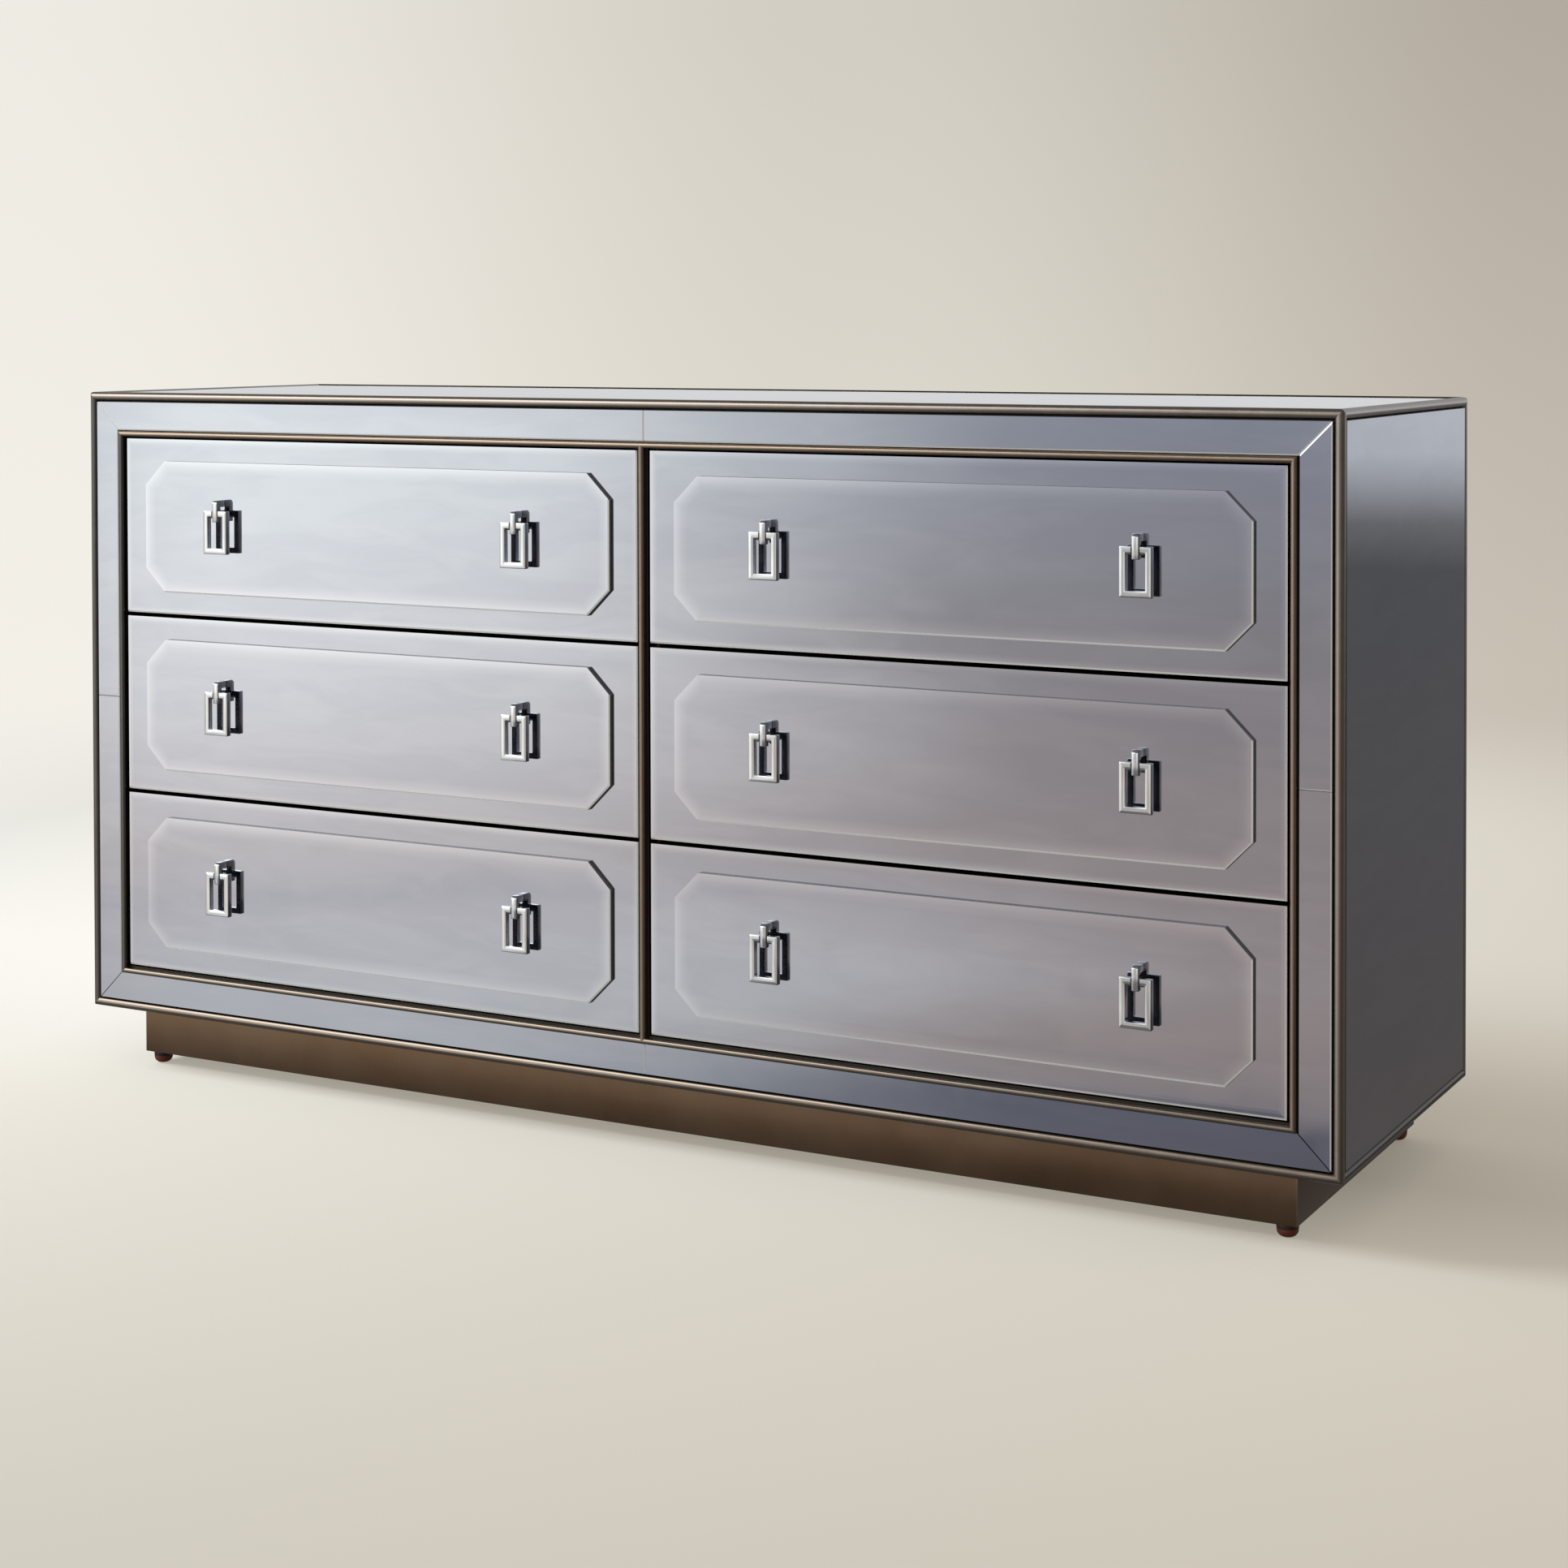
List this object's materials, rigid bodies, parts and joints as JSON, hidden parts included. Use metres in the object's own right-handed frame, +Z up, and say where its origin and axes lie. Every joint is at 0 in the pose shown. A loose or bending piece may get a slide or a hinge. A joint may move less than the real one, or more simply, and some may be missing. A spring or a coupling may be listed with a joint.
{
  "type": "mirrored dresser",
  "caption": "Low, wide mirror-clad dresser with round bead edges, sliding drawers that carry raised clipped-corner mirrors and drop bail pulls, and a recessed plinth on small feet.",
  "frame": {"origin": "on the floor, at the middle of the overall width and depth", "axes": "+X to the right as seen from the front, -Y the way the drawers open, +Z up"},
  "size_m": [1.6, 0.4774, 0.8365],
  "materials": {
    "smoky_mirror": "polished mirror glass with a faint grey tint, bevelled edges",
    "bronze_bead": "round bead in aged bronze and pewter metal leaf, semi-gloss",
    "plinth_bronze": "dark bronze paint, satin",
    "polished_chrome": "polished",
    "foot_brown": "reddish brown under a dark collar",
    "case_wood": "board, satin",
    "back_wood": "thin board, matt",
    "drawer_wood": "clear-sealed wood"
  },
  "bodies": {
    "case": {"side_panel_left": "case_wood", "side_panel_right": "case_wood", "top_panel": "case_wood", "bottom_panel": "case_wood", "back_panel": "back_wood", "centre_partition": "case_wood", "face_frame": "case_wood", "edge_moulding": "bronze_bead", "opening_bead": "bronze_bead", "front_mirror_border": "smoky_mirror", "side_mirror_left": "smoky_mirror", "side_mirror_right": "smoky_mirror", "top_mirror": "smoky_mirror", "plinth_frame": "plinth_bronze", "foot_front_left": "foot_brown", "foot_front_right": "foot_brown", "foot_back_left": "foot_brown", "foot_back_right": "foot_brown"},
    "drawer_top_left": {"drawer_top_left_box": "drawer_wood", "drawer_top_left_base_mirror": "smoky_mirror", "drawer_top_left_raised_mirror": "smoky_mirror", "drawer_top_left_post_a": "polished_chrome", "drawer_top_left_post_b": "polished_chrome"},
    "drawer_top_left_bail_a": {"drawer_top_left_bail_a": "polished_chrome"},
    "drawer_top_left_bail_b": {"drawer_top_left_bail_b": "polished_chrome"},
    "drawer_top_right": {"drawer_top_right_box": "drawer_wood", "drawer_top_right_base_mirror": "smoky_mirror", "drawer_top_right_raised_mirror": "smoky_mirror", "drawer_top_right_post_a": "polished_chrome", "drawer_top_right_post_b": "polished_chrome"},
    "drawer_top_right_bail_a": {"drawer_top_right_bail_a": "polished_chrome"},
    "drawer_top_right_bail_b": {"drawer_top_right_bail_b": "polished_chrome"},
    "drawer_middle_left": {"drawer_middle_left_box": "drawer_wood", "drawer_middle_left_base_mirror": "smoky_mirror", "drawer_middle_left_raised_mirror": "smoky_mirror", "drawer_middle_left_post_a": "polished_chrome", "drawer_middle_left_post_b": "polished_chrome"},
    "drawer_middle_left_bail_a": {"drawer_middle_left_bail_a": "polished_chrome"},
    "drawer_middle_left_bail_b": {"drawer_middle_left_bail_b": "polished_chrome"},
    "drawer_middle_right": {"drawer_middle_right_box": "drawer_wood", "drawer_middle_right_base_mirror": "smoky_mirror", "drawer_middle_right_raised_mirror": "smoky_mirror", "drawer_middle_right_post_a": "polished_chrome", "drawer_middle_right_post_b": "polished_chrome"},
    "drawer_middle_right_bail_a": {"drawer_middle_right_bail_a": "polished_chrome"},
    "drawer_middle_right_bail_b": {"drawer_middle_right_bail_b": "polished_chrome"},
    "drawer_bottom_left": {"drawer_bottom_left_box": "drawer_wood", "drawer_bottom_left_base_mirror": "smoky_mirror", "drawer_bottom_left_raised_mirror": "smoky_mirror", "drawer_bottom_left_post_a": "polished_chrome", "drawer_bottom_left_post_b": "polished_chrome"},
    "drawer_bottom_left_bail_a": {"drawer_bottom_left_bail_a": "polished_chrome"},
    "drawer_bottom_left_bail_b": {"drawer_bottom_left_bail_b": "polished_chrome"},
    "drawer_bottom_right": {"drawer_bottom_right_box": "drawer_wood", "drawer_bottom_right_base_mirror": "smoky_mirror", "drawer_bottom_right_raised_mirror": "smoky_mirror", "drawer_bottom_right_post_a": "polished_chrome", "drawer_bottom_right_post_b": "polished_chrome"},
    "drawer_bottom_right_bail_a": {"drawer_bottom_right_bail_a": "polished_chrome"},
    "drawer_bottom_right_bail_b": {"drawer_bottom_right_bail_b": "polished_chrome"}
  },
  "joints": [
    {"name": "drawer_top_left_slide", "type": "slide", "parent": "case", "child": "drawer_top_left", "axis": [0, -1, 0], "range_m": [0, 0.32]},
    {"name": "drawer_top_left_bail_a_swing", "type": "hinge", "parent": "drawer_top_left", "child": "drawer_top_left_bail_a", "pos_m": [-0.589, -0.235, 0.69003], "axis": [-1, 0, 0], "range_deg": [-9, 172]},
    {"name": "drawer_top_left_bail_b_swing", "type": "hinge", "parent": "drawer_top_left", "child": "drawer_top_left_bail_b", "pos_m": [-0.161, -0.235, 0.69003], "axis": [-1, 0, 0], "range_deg": [-9, 172]},
    {"name": "drawer_top_right_slide", "type": "slide", "parent": "case", "child": "drawer_top_right", "axis": [0, -1, 0], "range_m": [0, 0.32]},
    {"name": "drawer_top_right_bail_a_swing", "type": "hinge", "parent": "drawer_top_right", "child": "drawer_top_right_bail_a", "pos_m": [0.161, -0.235, 0.69003], "axis": [-1, 0, 0], "range_deg": [-9, 172]},
    {"name": "drawer_top_right_bail_b_swing", "type": "hinge", "parent": "drawer_top_right", "child": "drawer_top_right_bail_b", "pos_m": [0.589, -0.235, 0.69003], "axis": [-1, 0, 0], "range_deg": [-9, 172]},
    {"name": "drawer_middle_left_slide", "type": "slide", "parent": "case", "child": "drawer_middle_left", "axis": [0, -1, 0], "range_m": [0, 0.32]},
    {"name": "drawer_middle_left_bail_a_swing", "type": "hinge", "parent": "drawer_middle_left", "child": "drawer_middle_left_bail_a", "pos_m": [-0.589, -0.235, 0.4717], "axis": [-1, 0, 0], "range_deg": [-9, 172]},
    {"name": "drawer_middle_left_bail_b_swing", "type": "hinge", "parent": "drawer_middle_left", "child": "drawer_middle_left_bail_b", "pos_m": [-0.161, -0.235, 0.4717], "axis": [-1, 0, 0], "range_deg": [-9, 172]},
    {"name": "drawer_middle_right_slide", "type": "slide", "parent": "case", "child": "drawer_middle_right", "axis": [0, -1, 0], "range_m": [0, 0.32]},
    {"name": "drawer_middle_right_bail_a_swing", "type": "hinge", "parent": "drawer_middle_right", "child": "drawer_middle_right_bail_a", "pos_m": [0.161, -0.235, 0.4717], "axis": [-1, 0, 0], "range_deg": [-9, 172]},
    {"name": "drawer_middle_right_bail_b_swing", "type": "hinge", "parent": "drawer_middle_right", "child": "drawer_middle_right_bail_b", "pos_m": [0.589, -0.235, 0.4717], "axis": [-1, 0, 0], "range_deg": [-9, 172]},
    {"name": "drawer_bottom_left_slide", "type": "slide", "parent": "case", "child": "drawer_bottom_left", "axis": [0, -1, 0], "range_m": [0, 0.32]},
    {"name": "drawer_bottom_left_bail_a_swing", "type": "hinge", "parent": "drawer_bottom_left", "child": "drawer_bottom_left_bail_a", "pos_m": [-0.589, -0.235, 0.25337], "axis": [-1, 0, 0], "range_deg": [-9, 172]},
    {"name": "drawer_bottom_left_bail_b_swing", "type": "hinge", "parent": "drawer_bottom_left", "child": "drawer_bottom_left_bail_b", "pos_m": [-0.161, -0.235, 0.25337], "axis": [-1, 0, 0], "range_deg": [-9, 172]},
    {"name": "drawer_bottom_right_slide", "type": "slide", "parent": "case", "child": "drawer_bottom_right", "axis": [0, -1, 0], "range_m": [0, 0.32]},
    {"name": "drawer_bottom_right_bail_a_swing", "type": "hinge", "parent": "drawer_bottom_right", "child": "drawer_bottom_right_bail_a", "pos_m": [0.161, -0.235, 0.25337], "axis": [-1, 0, 0], "range_deg": [-9, 172]},
    {"name": "drawer_bottom_right_bail_b_swing", "type": "hinge", "parent": "drawer_bottom_right", "child": "drawer_bottom_right_bail_b", "pos_m": [0.589, -0.235, 0.25337], "axis": [-1, 0, 0], "range_deg": [-9, 172]}
  ]
}
